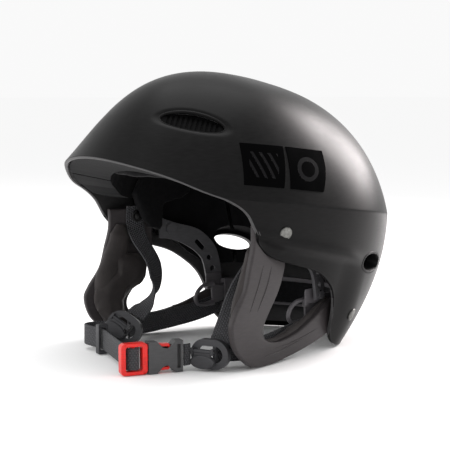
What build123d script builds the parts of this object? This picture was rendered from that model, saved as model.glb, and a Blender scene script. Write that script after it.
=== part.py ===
from build123d import *
from math import asin, cos, degrees, pi, radians, sin, sqrt
import os

# Water helmet, millimetres.  +Z up, front towards -Y, the wearer's left towards +X.
# The helmet stands on its two ear guards and the rear of its shell, tipped back a little.

# ---- driving dimensions ----------------------------------------------------
PITCH = 7.0               # backward tip of the standing helmet, degrees
CREASE_Z = 116.0          # height of the shoulder line above the ground at the helmet's middle
CENTRE_Y = 4.31           # moves the finished model so that its box is centred on the origin

CROWN = 96.6              # crown above the shoulder line
BASE = -125.0             # lowest section of the untrimmed shell
SIDE_R, FRONT_R, REAR_R = 111.5, 168.0, 125.0         # half sizes at the shoulder line
CENTRE_CROWN, CENTRE_SHOULDER, CENTRE_BASE = -25.0, 7.0, 25.0   # fore-and-aft middle
SHELL_T = 3.4             # shell wall
FIT_GAP = 1.4             # gap between shell and liner

CAVITY_Y, CAVITY_Z = -6.0, 112.0                      # middle of the head cavity
CAVITY = (84.0, 101.0, 78.0)                          # its half sizes

EAR_T = 5.0               # ear guard plate
EAR_PAD_T = 6.0           # foam on the ear guard
WEB_W, WEB_T = 16.0, 1.6  # strap webbing
RIVET_R, SHANK_R = 5.8, 2.2
RIVET_FRONT = (-36.0, 99.0)                           # (y, z) of the front and rear rivets
RIVET_REAR = (60.0, 26.0)

BUCKLE_H, BUCKLE_T = 23.0, 8.4
BUCKLE_MOUTH = Vector(48.8, -122.0, 11.5)
BUCKLE_DIR = Vector(0.28, 0.96, 0)
RELEASE = 24.0            # travel of the male half out of the female half

CRADLE_X = 57.0           # straight side of the nape cradle
CRADLE_Y = 52.0           # where its sides start to turn
CORNER_R, REAR_ARC_R = 30.0, 78.0
CRADLE_Z, CRADLE_H = 31.0, 24.0
CRADLE_MOUTH = 37.0
PINION_R, TOOTH, PINION_TEETH = 4.5, 1.1, 14
RACK_T = 2.0

parts = {}


# ---- helpers ---------------------------------------------------------------
def tipped(x, y, z):
    """A point of the level helmet, set back by PITCH and raised to its standing height."""
    c, s = cos(radians(PITCH)), sin(radians(PITCH))
    return Vector(x, y * c + z * s, -y * s + z * c + CREASE_Z)


def bezier(points, t):
    while len(points) > 1:
        points = [tuple(a + (b - a) * t for a, b in zip(p, q)) for p, q in zip(points, points[1:])]
    return points[0]


def side_profile(s, inset):
    """Half width, height of the side, front and rear outlines at level s (1 = shoulder line)."""
    top = CROWN - inset
    if s <= 1:
        curves = (
            [(0, top), (55 - inset, top), (92.5 - inset, 47), (SIDE_R - inset, 0)],
            [(0, top), (85.5 - inset, top), (127 - inset, 37.5), (FRONT_R - inset, 0)],
            [(0, top), (95.5 - inset, top), (111 - inset, 70), (REAR_R - inset, 0)],
        )
        return [bezier(c, s) for c in curves]
    curves = (
        [(SIDE_R - inset, 0), (93.5 - inset, -57.5), (72.5 - inset, BASE)],
        [(FRONT_R - inset, 0), (FRONT_R - inset, -60), (FRONT_R - 40 - inset, BASE)],
        [(REAR_R - inset, 0), (139 - inset, -60), (61.5 - inset, BASE)],
    )
    return [bezier(c, s - 1) for c in curves]


def shell_point(s, turn, inset):
    """Point of the shell surface; turn is 0 at the wearer's left, 90 at the rear, 270 in front."""
    side, front, rear = side_profile(s, inset)
    end = front if sin(radians(turn)) < 0 else rear
    c, n = cos(radians(turn)), sin(radians(turn))
    if s <= 1:
        ease = s * s * (3 - 2 * s)
        middle = CENTRE_CROWN + (CENTRE_SHOULDER - CENTRE_CROWN) * ease
    else:
        middle = CENTRE_SHOULDER + (CENTRE_BASE - CENTRE_SHOULDER) * (s - 1)
    return tipped(side[0] * c, middle + end[0] * n, side[1] * c * c + end[1] * n * n)


def patchwork(rows):
    """Triangular faces between neighbouring rows of points; equal points collapse."""
    faces = []
    for upper, lower in zip(rows, rows[1:]):
        for a, b, c, d in zip(upper, upper[1:], lower[1:], lower):
            for corners in ((a, b, c), (a, c, d)):
                p, q, r = corners
                if (q - p).cross(r - p).length > 1e-4:
                    faces.append(Face(Wire.make_polygon(corners, close=True)))
    return faces


def lattice(outside, inside):
    """Closed solid between two equal grids of points, joined round their edges."""
    faces = patchwork(outside) + patchwork(inside)
    faces += patchwork([outside[0], inside[0]]) + patchwork([outside[-1], inside[-1]])
    if (outside[0][0] - outside[0][-1]).length + (outside[-1][0] - outside[-1][-1]).length > 1e-6:
        for end in (0, -1):
            faces += patchwork([[row[end] for row in outside], [row[end] for row in inside]])
    return Solid(Shell(faces))


def mirrored(shape):
    return mirror(shape, about=Plane.YZ)


def pair(name, shape):
    parts[name + "_left"] = shape
    parts[name + "_right"] = mirrored(shape)


def both(name, shape):
    """Two equal small pieces, one each side, in one node."""
    parts[name] = Compound([shape.solid(), mirrored(shape).solid()])


def round_bar(start, end, radius):
    axis = end - start
    return extrude(Plane(start, z_dir=axis) * Circle(radius), amount=axis.length)


def disc(centre, normal, radius, thickness):
    return extrude(Plane(centre, z_dir=normal) * Circle(radius), amount=thickness)


def ribbon(stations, width=WEB_W, thickness=WEB_T):
    """Flat webbing through stations of (point, direction across its width)."""
    points = [Vector(*p) for p, across in stations]
    wires = []
    for i, (p, across) in enumerate(stations):
        along = points[min(i + 1, len(points) - 1)] - points[max(i - 1, 0)]
        across = Vector(*across)
        across = across - along * (across.dot(along) / along.dot(along))
        plane = Plane(points[i], x_dir=across, z_dir=along)
        wires.append((plane * Rectangle(width, thickness)).wire())
    return Solid.make_loft(wires, ruled=True)


def upright_strap(route, low, high, thickness=WEB_T):
    """Webbing on edge: a plan route thickened and raised from low to high."""
    line = Spline(*route)
    count = 6 * len(route)
    left, right = [], []
    for i in range(count + 1):
        p, t = line @ (i / count), line % (i / count)
        across = Vector(-t.Y, t.X) * (thickness / 2)
        left.append(p + across)
        right.append(p - across)
    outline = Wire([Edge.make_spline(left), Edge.make_line(left[-1], right[-1]),
                    Edge.make_spline(right[::-1]), Edge.make_line(right[0], left[0])])
    return extrude(Pos(0, 0, low) * Face(outline), amount=high - low, dir=(0, 0, 1))


# ---- shell -----------------------------------------------------------------
# Rim of the shell in side view (y, z): brim tip, brim, temple corner, ear arch, rear skirt.
RIM = [(-142, 155.5), (-133, 150), (-115, 140.7), (-96, 129.8), (-79, 122), (-67, 113), (-60, 102), (-53, 91),
       (-37, 79.5), (-16, 73), (5, 66.5), (20, 57), (30, 46), (35, 32), (38, 12), (48, 3), (60, 0), (150, 0)]
LINER_RIM = [(-142, 158.5), (-133, 152), (-115, 142.5), (-96, 131.8), (-79, 124), (-67, 116), (-62, 115),
             (-15, 115), (-11, 84), (8, 76), (26, 62), (42, 54), (150, 54)]
STEP = 5                  # turn between neighbouring columns, degrees


def height_at(line, y):
    for (y0, z0), (y1, z1) in zip(line, line[1:]):
        if y <= y1:
            return z0 + (z1 - z0) * (y - y0) / (y1 - y0)
    return line[-1][1]


def level_where(turn, inset, below):
    """Level s at which the surface, followed down from the crown, first satisfies below(point)."""
    low = high = 0.1
    while high < 1.99 and not below(shell_point(high, turn, inset)):
        low, high = high, min(high + 0.04, 1.99)
    for _ in range(12):
        middle = (low + high) / 2
        if below(shell_point(middle, turn, inset)):
            high = middle
        else:
            low = middle
    return low


def rim_level(turn, inset, line=RIM):
    return level_where(turn, inset, lambda p: p.Z < height_at(line, p.Y))


def shell_levels(end, upper=12, lower=5):
    """Levels from the crown to the rim; the last of the upper ones is the shoulder line or the rim."""
    shoulder = min(end, 1.0)
    above = [0.02 + (shoulder - 0.02) * i / upper for i in range(upper + 1)]
    return above + [shoulder + (end - shoulder) * i / lower for i in range(1, lower + 1)]


def crown_cap(rows, centre):
    """Close the small ring at the crown to a point."""
    return [[centre] * len(rows[0])] + rows


def shell_grid(inset):
    columns = []
    for turn in range(0, 360 + STEP, STEP):
        end = rim_level(turn % 360, inset)
        columns.append([shell_point(s, turn % 360, inset) for s in shell_levels(end)])
    rows = [list(row) for row in zip(*columns)]
    for row in rows:
        row[-1] = row[0]
    return crown_cap(rows, shell_point(0, 0, inset))


def seat(s, turn, inset=0.0):
    """Plane on the shell surface: z out of the shell, x downwards along the wall."""
    here = shell_point(s, turn, inset)
    down = shell_point(s + 0.01, turn, inset) - here
    round_ = shell_point(s, turn + 1, inset) - here
    normal = round_.cross(down)
    if normal.dot(here - Vector(0, 0, 90)) < 0:
        normal = normal * -1
    return Plane(here, x_dir=down, z_dir=normal)


def vent_plane(s, turn, along):
    """Plane on the shell surface with x along the vent."""
    base = seat(s, turn)
    along = Vector(*along)
    return Plane(base.origin, x_dir=along - base.z_dir * along.dot(base.z_dir), z_dir=base.z_dir)


EYE_VENT = vent_plane(0.59, -48, (33, 35, -9))
TOP_VENT = vent_plane(0.20, 52, (8, 29, -9))
SIDE_VENT = vent_plane(1.33, 30, (-20, 37, -7))


def vents(grow=0.0, depth=30):
    """Cutters of the vents, both sides."""
    sizes = ((EYE_VENT, 24.5, 8.5), (TOP_VENT, 22.0, 7.5), (SIDE_VENT, 20.0, 9.5))
    left = [extrude(plane.offset(-depth) * Ellipse(a + grow, b + grow), amount=depth + 12)
            for plane, a, b in sizes]
    return left + [mirrored(cutter) for cutter in left]


def make_shell():
    holes = [round_bar(Vector(60, y, z), Vector(120, y, z), SHANK_R + 0.25) for y, z in (RIVET_FRONT, RIVET_REAR)]
    holes += [mirrored(hole) for hole in holes]
    parts["outer_shell"] = lattice(shell_grid(0), shell_grid(SHELL_T)) - vents() - holes


# ---- liner and pads --------------------------------------------------------
def cavity_point(toward, inset=0.0):
    """Point of the head cavity's wall in the direction of another point."""
    a, b, c = (size - inset for size in CAVITY)
    dx, dy, dz = toward.X, toward.Y - CAVITY_Y, toward.Z - CAVITY_Z
    if dz <= 0:
        k = 1 / sqrt((dx / a) ** 2 + (dy / b) ** 2)
        return Vector(dx * k, CAVITY_Y + dy * k, toward.Z)
    k = 1 / sqrt((dx / a) ** 2 + (dy / b) ** 2 + (dz / c) ** 2)
    return Vector(dx * k, CAVITY_Y + dy * k, CAVITY_Z + dz * k)


CROWN_Z = 178.0           # lower edge of the crown liner
LINER_GAP = 0.02          # gap between neighbouring liners, in levels


def liner(turns, top=None, rows=7):
    """Foam block between the shell and the cavity, from level top (None = crown) down."""
    inset = SHELL_T + FIT_GAP
    columns = []
    for turn in turns:
        crown_edge = level_where(turn, inset, lambda p: p.Z < CROWN_Z)
        if top is None:
            first, last = 0.02, crown_edge - LINER_GAP
        else:
            first, last = crown_edge + LINER_GAP, rim_level(turn, inset, LINER_RIM)
        columns.append([shell_point(first + (last - first) * i / rows, turn, inset) for i in range(rows + 1)])
    outside = [list(row) for row in zip(*columns)]
    if top is None:
        for row in outside:
            row[-1] = row[0]
        outside = crown_cap(outside, shell_point(0, 0, inset))
    inside = [[cavity_point(p) for p in row] for row in outside]
    if top is None:
        inside[0] = [cavity_point(Vector(0, CENTRE_CROWN, 210))] * len(inside[0])
    return lattice(outside, inside)


def make_liners():
    cutters = vents(grow=1.0, depth=60)
    parts["liner_crown"] = liner(range(0, 365, 10)) - cutters
    parts["liner_front"] = liner(range(228, 313, 6), top=1) - cutters
    parts["liner_rear"] = liner(range(33, 148, 6), top=1) - cutters
    pair("liner_side", liner([-47 + 6 * i for i in range(14)], top=1) - cutters)


def pad(columns, thickness, inset=0.9, rows=5, limit=200.0):
    """Comfort pad on the cavity wall through columns of (low point, high point)."""
    outside = [[low + (high - low) * (i / rows) for low, high in columns] for i in range(rows + 1)]

    def wall(p, depth):
        q = cavity_point(p, inset + depth)
        return Vector(min(q.X, limit - depth), q.Y, q.Z)

    return lattice([[wall(p, 0) for p in row] for row in outside],
                   [[wall(p, thickness) for p in row] for row in outside])


def make_pads():
    low = [(-47, 112), (-38, 97), (-30, 88), (-20, 85), (-15.5, 90), (-14.5, 106), (-4, 109), (8, 112), (17, 118)]
    high = [(-46, 120), (-38, 138), (-29, 145), (-20, 147), (-15.5, 147.5), (-14.5, 147.6), (-4, 148),
            (8, 146), (17, 140)]
    side = [(Vector(80, *a), Vector(72, *b)) for a, b in zip(low, high)]
    pair("side_pad", pad(side, 6, limit=76.0))
    brow = [(Vector(x, -105, 139 + abs(x) / 20), Vector(x, -98, 163 - abs(x) / 12)) for x in range(-50, 55, 10)]
    parts["brow_pad"] = pad(brow, 7)
    top = [(Vector(0.5 * cos(radians(t)), CAVITY_Y + 0.5 * sin(radians(t)), 190),
            Vector(30 * cos(radians(t)), CAVITY_Y + 42 * sin(radians(t)), 180)) for t in range(0, 360, 20)]
    parts["crown_pad"] = pad(top + top[:1], 7)


# ---- vent inserts and side patches -----------------------------------------
def make_vent_inserts():
    ring = SIDE_VENT.offset(-9.5) * (Ellipse(19.6, 9.1) - Ellipse(15.6, 6.6))
    pair("vent_ring", extrude(ring, amount=9))
    plate = EYE_VENT.offset(-6.4) * Ellipse(23.8, 7.8)
    grille = extrude(plate, amount=2.0)
    for i in range(-5, 6):
        slot = EYE_VENT.offset(-5.4) * (Pos(i * 3.6, 0) * Rectangle(1.8, 2 * 7.0 * sqrt(1 - (i * 3.6 / 24) ** 2) - 2))
        grille = grille - extrude(slot, amount=2.0)
    pair("vent_grille", grille)


def make_patches():
    """Two thin plain panels on the wearer's left; their turns are given at the upper and lower edge."""
    upper, lower, count = 0.70, 0.92, 5
    for name, top_turns, low_turns in (("patch_front", (-30, -14), (-29, -17)), ("patch_rear", (-13, 3), (-15, -4))):
        grids = []
        for inset in (-0.45, -0.08):
            rows = []
            for i in range(count + 1):
                k = i / count
                first = top_turns[0] + (low_turns[0] - top_turns[0]) * k
                last = top_turns[1] + (low_turns[1] - top_turns[1]) * k
                level = upper + (lower - upper) * k
                rows.append([shell_point(level, first + (last - first) * j / count, inset)
                             for j in range(count + 1)])
            grids.append(rows)
        parts[name] = lattice(*grids)


# ---- ear guards ------------------------------------------------------------
EAR_PLANE = Plane(Vector(85.8, -44, 0), x_dir=(-0.208, 1, 0), z_dir=(0.978, 0.2035, -0.0367))
EAR_OUTER = [(-57, 90), (-61, 75), (-66, 58), (-76, 43), (-80, 33), (-76, 18.5), (-66, 8), (-56, 1.6), (-46, -0.6)]
EAR_OUTER_REAR = [(-30, -0.6), (-14, 1.8), (8, 5.5), (30, 10.5), (44, 14.5)]
EAR_INNER = [(-19, 78), (-21, 66), (-27, 53), (-37, 39.5), (-43, 30), (-42, 21.5), (-33, 17), (-20, 16.2),
             (0, 20), (20, 28), (36, 36.5), (44, 41)]
EAR_TOP = 105.0


def on_ear_plane(y, z):
    """Point of the guard's outer face at side-view position (y, z)."""
    n, o = EAR_PLANE.z_dir, EAR_PLANE.origin
    return Vector(o.X - (n.Y * (y - o.Y) + n.Z * (z - o.Z)) / n.X, y, z)


def ear_outline(outer, outer_rear, inner, top):
    spots = [[on_ear_plane(y, z) for y, z in row] for row in (outer, outer_rear, inner)]
    front_top, rear_top = on_ear_plane(outer[0][0], top), on_ear_plane(inner[0][0], top)
    return Wire([
        Edge.make_line(front_top, spots[0][0]),
        Edge.make_spline(spots[0]),
        Edge.make_line(spots[0][-1], spots[1][0]),
        Edge.make_spline(spots[1]),
        Edge.make_line(spots[1][-1], spots[2][-1]),
        Edge.make_spline(spots[2][::-1]),
        Edge.make_line(spots[2][0], rear_top),
        Edge.make_line(rear_top, front_top),
    ])


def make_ear_guards():
    n = EAR_PLANE.z_dir
    plate = extrude(Face(ear_outline(EAR_OUTER, EAR_OUTER_REAR, EAR_INNER, EAR_TOP)), amount=EAR_T, dir=-n)
    hole = round_bar(Vector(70, RIVET_FRONT[0], RIVET_FRONT[1]), Vector(110, *RIVET_FRONT), SHANK_R + 0.6)
    below_ground = Pos(0, 0, -10) * Box(400, 400, 20)
    pair("ear_guard", plate - hole - below_ground)
    outer = [(y + 4.2, z + 2.6) for y, z in EAR_OUTER if z < 70]
    rear = [(y, z + 2.6) for y, z in EAR_OUTER_REAR if y < 12] + [(14, 9.5)]
    inner = [(y - 1.2, z - 1) for y, z in EAR_INNER if y < 12 and z < 60] + [(14, 23)]
    foam = Face(ear_outline(outer, rear, inner, 72))
    foam = Pos(n * -(EAR_T + 0.15)) * foam
    pair("ear_pad", extrude(foam, amount=EAR_PAD_T, dir=-n))


# ---- rivets ----------------------------------------------------------------
def shell_seat(y, z):
    """Plane on the left side of the shell at side-view position (y, z), by stepping the surface."""
    s, turn = 1.3, 0.0
    for _ in range(30):
        here = shell_point(s, turn, 0)
        ds, dt = shell_point(s + 0.01, turn, 0) - here, shell_point(s, turn + 1, 0) - here
        det = ds.Y * dt.Z - ds.Z * dt.Y
        ey, ez = y - here.Y, z - here.Z
        s += 0.01 * (ey * dt.Z - ez * dt.Y) / det * 0.7
        turn += (ds.Y * ez - ds.Z * ey) / det * 0.7
    return seat(s, turn)


def make_rivet(y, z, inner_x):
    """Domed head on the shell, shank along X, and a clinched tail at inner_x."""
    plane = shell_seat(y, z)
    base, normal = plane.origin + plane.z_dir * 0.7, plane.z_dir
    head = disc(base, normal, RIVET_R, 2.2)
    head = fillet(head.edges().sort_by(Axis(base, normal))[-1], 1.2)
    shank = round_bar(Vector(inner_x, y, z), Vector(base.X + 0.6, y, z), SHANK_R)
    tail = round_bar(Vector(inner_x - 1.2, y, z), Vector(inner_x + 0.3, y, z), 3.0)
    return head + shank + tail


def make_washer(y, z, inner_x):
    return round_bar(Vector(inner_x + 0.4, y, z), Vector(inner_x + 1.4, y, z), 5.0) - \
        round_bar(Vector(inner_x, y, z), Vector(inner_x + 2, y, z), SHANK_R + 0.15)


# ---- straps ----------------------------------------------------------------
DIVIDER_LEFT = Plane((70, -80, 12), x_dir=(0.915, 0.407, 0), z_dir=(0.407, -0.915, 0))
DIVIDER_RIGHT = Plane((-39, -78, 16), x_dir=(0.76, 0.38, -0.53), z_dir=(0.57, -0.78, 0.26))
CHIN_RIGHT = [(-47, -78), (-56, -83), (-62, -92), (-60, -101), (-50, -104), (-31, -105), (-12, -112),
              (8, -120), (24, -126), (33, -127.5)]


def make_divider(plane):
    """Oval ring that joins the front, rear and chin webbing, with ears for its cam lever."""
    ring = plane.offset(-2.5) * (SlotOverall(30, 22) - SlotOverall(21, 12))
    body = extrude(ring, amount=5)
    bar = extrude(plane.offset(-1.5) * (Pos(3.6, 0) * Rectangle(2.6, 13)), amount=3)
    ears = [extrude(plane.offset(low) * (Pos(x, 2.2) * Rectangle(2.0, 4.4)), amount=6.0 - low)
            for x, low in ((-12.6, 2.3), (3.6, 1.3))]
    pin_hole = extrude(Plane((plane * Pos(-16, 2.2, 4.2)).position, z_dir=plane.x_dir) * Circle(0.95), amount=24)
    return body + bar + ears[0] + ears[1] - pin_hole


def make_cam_lever(plane):
    """Thumb disc that presses the webbing; it swings out on its pin."""
    pad = plane.offset(2.9) * (Pos(-4.5, -5.4) * Ellipse(9.6, 5.2))
    lever = extrude(pad, amount=3.6)
    lever = fillet(lever.edges().sort_by(Axis(plane.origin, plane.z_dir))[-1], 1.4)
    knuckle = Plane((plane * Pos(-11.3, 2.2, 4.2)).position, z_dir=plane.x_dir)
    barrel = extrude(knuckle * Circle(1.6), amount=13.6)
    neck = extrude(plane.offset(3.1) * (Pos(-4.5, -0.4) * Rectangle(13.0, 4.4)), amount=2.2)
    bore = extrude(knuckle.offset(-3) * Circle(0.8), amount=24)
    return lever + barrel + neck - bore


def make_cam_pin(plane):
    start = Plane((plane * Pos(-13.8, 2.2, 4.2)).position, z_dir=plane.x_dir)
    return extrude(start * Circle(0.74), amount=18.6)


def make_straps():
    lean = (-0.208, 1, 0.04)
    front_left = [((81.6, -36, 107), lean), ((81.3, -36.5, 92), lean), ((75.6, -42, 80), lean),
                  ((72, -54, 58), (0.2, 0.9, 0.2)), ((70.5, -63, 36), (0.6, 0.7, 0.1)),
                  ((70, -69, 24), (0.8, 0.5, 0)), ((69.5, -72.6, 17), (0.9, 0.4, 0))]
    parts["front_strap_left"] = ribbon(front_left)
    front_right = [((-81.6, -36, 107), (0.208, 1, 0.04)), ((-81.3, -36.5, 92), (0.208, 1, 0.04)),
                   ((-74, -37, 80), (0.1, 1, 0)), ((-60, -34, 62), (-0.2, 0.95, 0.1)),
                   ((-50, -40, 46), (-0.5, 0.8, 0.2)), ((-42, -54, 34), (-0.8, 0.5, 0.3)),
                   ((-38, -64, 28), (-0.9, -0.2, 0.4)), ((-37, -69, 25), (-0.8, -0.3, 0.5))]
    parts["front_strap_right"] = ribbon(front_right)
    rear = [((63.9, 64, 27), (0.45, -0.1, 1)), ((62.3, 50, 24), (0, -0.1, 1)), ((61.9, 38, 22), (0, -0.2, 1)),
            ((61.9, 10, 16.5), (0, -0.15, 1)), ((67.5, -25, 11.5), (0, 0, 1))]
    parts["rear_strap_left"] = ribbon(rear + [((69.5, -48, 11), (0, 0, 1)), ((66, -62, 11.5), (0, 0, 1)),
                                              ((64.5, -70, 11.5), (0, 0, 1))])
    other = [((-x, y, z), (-a, b, c)) for (x, y, z), (a, b, c) in rear]
    parts["rear_strap_right"] = ribbon(other + [((-64, -48, 11), (0, 0, 1)), ((-54, -63, 12), (0, 0, 1)),
                                                ((-47, -68, 13), (0, 0, 1))])
    for name, (y, z) in (("front_strap", RIVET_FRONT), ("rear_strap", RIVET_REAR)):
        for side in ("left", "right"):
            reach = 120 if side == "left" else -120
            parts[f"{name}_{side}"] -= round_bar(Vector(0, y, z), Vector(reach, y, z), SHANK_R + 0.2)
    low, high = 11.5 - WEB_W / 2, 11.5 + WEB_W / 2
    chin_left = [(58.2, -95.5), (58.6, -92), (58, -90)]
    parts["chin_strap_left"] = upright_strap(chin_left, low, high)
    parts["chin_strap_right"] = upright_strap(CHIN_RIGHT, low, high)


# ---- buckle ----------------------------------------------------------------
BUCKLE = Plane(BUCKLE_MOUTH, x_dir=BUCKLE_DIR, z_dir=(0.96, -0.28, 0))   # x along, y up, z to the face


def buckle_slab(outline, low, high):
    return extrude(BUCKLE.offset(low) * make_face(Polyline(*outline, close=True)), amount=high - low)


def make_buckle():
    half, top = BUCKLE_T / 2, BUCKLE_H / 2
    waist = [(0.3, top), (7, top), (11.5, 6.6), (15, 6.2), (18, 8.5), (21, top), (26.5, top), (26.5, -top),
             (21, -top), (18, -8.5), (15, -6.2), (11.5, -6.6), (7, -top), (0.3, -top)]
    female = buckle_slab(waist, -half, half)
    female = female - extrude(BUCKLE.offset(-2.9) * (Pos(9.2, 0) * Rectangle(18, 20.2)), amount=5.8)
    female = female - extrude(BUCKLE.offset(-half - 1) * (Pos(23.4, 0) * Rectangle(2.6, WEB_W + 1.4)), amount=12)
    parts["buckle_female"] = female
    frame = BUCKLE.offset(-3.5) * (Pos(-10.1, 0) * RectangleRounded(20, BUCKLE_H, 3.2))
    window = BUCKLE.offset(-5) * (Pos(-10.4, 0) * RectangleRounded(12.4, 17.6, 1.5))
    male = extrude(frame, amount=7) - extrude(window, amount=10)
    bar = Plane((BUCKLE * Pos(-10.4, -10, 0)).position, z_dir=(0, 0, 1))
    male = male + extrude(bar * Circle(1.5), amount=20)
    tongue = BUCKLE.offset(-1.6) * (Pos(7.4, 0) * Rectangle(16, 4.4))
    parts["buckle_male"] = male + extrude(tongue, amount=3.2)
    wrap_ring = Plane(bar.origin + Vector(0, 0, 2), z_dir=(0, 0, 1)) * (Circle(3.7) - Circle(1.9))
    parts["buckle_webbing"] = extrude(wrap_ring, amount=WEB_W)
    prong = [(0.6, 6.2), (3, 7.2), (8, 7.6), (15.5, 7.4), (16.6, 5.4), (17.4, 5.4), (17.4, 7.6), (16.4, 9.5),
             (9.5, 9.7), (3, 9.5), (0.6, 9.2)]
    parts["buckle_prong_upper"] = buckle_slab(prong, -2.4, 2.4)
    parts["buckle_prong_lower"] = buckle_slab([(u, -v) for u, v in prong], -2.4, 2.4)


def make_keeper():
    place = Pos(-31, -105.2, 0.2) * Rot(0, 0, -6)
    low = (Align.CENTER, Align.CENTER, Align.MIN)
    parts["strap_keeper"] = place * (Box(5, 8.4, 23, align=low) - Pos(0, 0, 2.6) * Box(8, 4.8, 17.8, align=low))


# ---- headband and nape cradle ----------------------------------------------
ARM_X, ARM_SLOPE = 83.8, 20 / 65                      # outer face of the left arm: x at y = -25, and its lean
HEADBAND_PIN = (34.0, 43.5)                           # (y, z) where an arm is pinned to its wing
ARM_LOW = [(-13, 79), (0, 76.5), (12, 70.5), (19, 65), (23, 60), (26, 50), (28, 40)]
ARM_HIGH = [(-13, 97), (-6, 94), (6, 90), (19, 86), (30, 77), (36, 68), (39, 57), (40.5, 47), (40, 40)]


def on_arm_plane(y, z):
    return Vector(ARM_X - (y + 25) * ARM_SLOPE, y, z)


def make_headband():
    low = [on_arm_plane(y, z) for y, z in ARM_LOW]
    high = [on_arm_plane(y, z) for y, z in ARM_HIGH]
    outline = Wire([Edge.make_spline(low), Edge.make_line(low[-1], high[-1]), Edge.make_spline(high[::-1]),
                    Edge.make_line(high[0], low[0])])
    n = Vector(1, ARM_SLOPE, 0).normalized()
    arm = extrude(Face(outline), amount=2.5, dir=-n)
    for y, z in ((29.5, 60.8), (32.5, 51.5), HEADBAND_PIN):
        arm = arm - round_bar(on_arm_plane(y, z) - n * 6, on_arm_plane(y, z) + n * 6, 2.1)
    slot = Plane(on_arm_plane(21.5, 72.0) - n * 6, x_dir=on_arm_plane(26, 67) - on_arm_plane(18, 76), z_dir=n)
    arm = arm - extrude(slot * SlotOverall(11, 4), amount=12)
    stud_at = on_arm_plane(-3, 87)
    arm = arm - round_bar(stud_at - n * 6, stud_at + n * 6, 2.2)
    pair("headband", arm)
    inner = stud_at - n * 2.7
    stud = disc(inner - n * 1.4, n, 4.6, 1.4) + disc(inner, n, 1.9, 9.1)
    both("headband_studs", stud)
    hole = on_arm_plane(*HEADBAND_PIN)
    pin = round_bar(hole - n * 2.7, hole + n * 0.4, 1.9) + disc(hole + n * 0.2, n, 3.4, 1.2)
    both("headband_pins", pin)


CORNER = Vector(CRADLE_X - CORNER_R, CRADLE_Y)         # centre of the left corner arc
MEET = asin(CORNER.X / (REAR_ARC_R - CORNER_R))       # angle from straight back where the arcs meet
REAR_ARC_Y = CRADLE_Y - (REAR_ARC_R - CORNER_R) * cos(MEET)
REAR_Y = REAR_ARC_Y + REAR_ARC_R                      # rearmost point of the cradle line


def arc_between(centre, radius, start, end):
    """Arc in plan; angles in radians from straight back towards the wearer's left."""
    spots = [centre + Vector(sin(a), cos(a)) * radius for a in (start, (start + end) / 2, end)]
    return Edge.make_three_point_arc(*spots)


def cradle_band(inner, outer, low, high, mouth=CRADLE_MOUTH):
    """Band between two offsets of the cradle line, from mouth to mouth round the nape."""
    rear = Vector(0, REAR_ARC_Y)
    side = radians(90)

    def line(offset):
        x, corner, big = CRADLE_X + offset, CORNER_R + offset, REAR_ARC_R + offset
        opposite = Vector(-CORNER.X, CORNER.Y)
        return [Edge.make_line((x, mouth), (x, CRADLE_Y)), arc_between(CORNER, corner, side, MEET),
                arc_between(rear, big, MEET, -MEET), arc_between(opposite, corner, -MEET, -side),
                Edge.make_line((-x, CRADLE_Y), (-x, mouth))]

    ends = [Edge.make_line((k * (CRADLE_X + inner), mouth), (k * (CRADLE_X + outer), mouth)) for k in (1, -1)]
    face = Face(Wire(line(inner) + line(outer) + ends))
    return extrude(Pos(0, 0, low) * face, amount=high - low, dir=(0, 0, 1))


def make_cradle():
    z0, z1 = CRADLE_Z - CRADLE_H / 2, CRADLE_Z + CRADLE_H / 2
    body = cradle_band(-3.6, 2.4, z0, z1) - cradle_band(-1.9, 1.7, z0 + 3.5, z1 - 3.5, mouth=CRADLE_MOUTH - 5)
    across = Plane((0, REAR_Y, CRADLE_Z), x_dir=(1, 0, 0), z_dir=(0, 1, 0))      # nape, looking forward
    boss = extrude(across.offset(2.2) * Circle(10.5), amount=4.0)
    bore = extrude(across.offset(-1.2) * Circle(2.6), amount=30)
    parts["cradle_housing"] = body + boss - bore
    axle = across.offset(-1.4)
    gear = Circle(PINION_R - TOOTH / 2)
    for i in range(PINION_TEETH):
        gear += Rot(0, 0, 360 * i / PINION_TEETH) * Pos(PINION_R - 0.35, 0) * Rectangle(1.5, 0.8)
    pinion = extrude(axle * gear, amount=2.8)
    parts["dial_pinion"] = pinion + extrude(axle * Circle(2.5), amount=10.4)
    grip = Circle(11.5)
    for i in range(18):
        grip -= Rot(0, 0, 20 * i) * Pos(12.1, 0) * Circle(1.1)
    knob = extrude(across.offset(6.6) * grip, amount=5.5)
    parts["dial_knob"] = knob - extrude(across.offset(6.0) * Circle(2.55), amount=3.2)
    for side, up in (("left", 1), ("right", -1)):
        parts["rack_" + side] = make_rack(1 if side == "left" else -1, up)
    parts["nape_pad"] = cradle_band(-8.0, -3.8, z0 + 2, z1 - 2, mouth=46)
    pair("wing", make_wing())


def make_wing():
    """Left wing: D loop in front, flat tail in the housing, and an outer flap pinned to the headband."""
    outline = Pos(18, 0) * SlotOverall(24, 19) + Pos(28, 0) * Rectangle(18, 15) - Pos(17, 0) * SlotOverall(14, 9)
    outline += Pos(41, 0) * Rectangle(20, 13)
    upright = Plane((CRADLE_X - 1.25, 0, CRADLE_Z), x_dir=(0, 1, 0), z_dir=(1, 0, 0))
    plate = extrude(upright * outline.face(), amount=2.5)
    y, z = HEADBAND_PIN
    flap = Pos(CRADLE_X + 3.75, 30, z - 1) * Box(1.3, 18, 12)
    bridge = Pos(CRADLE_X + 2.6, 23.5, CRADLE_Z + 6.5) * Box(3.6, 5, 6)
    hole = round_bar(Vector(CRADLE_X, y, z), Vector(CRADLE_X + 12, y, z), 2.4)
    return plate + flap + bridge - hole


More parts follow.
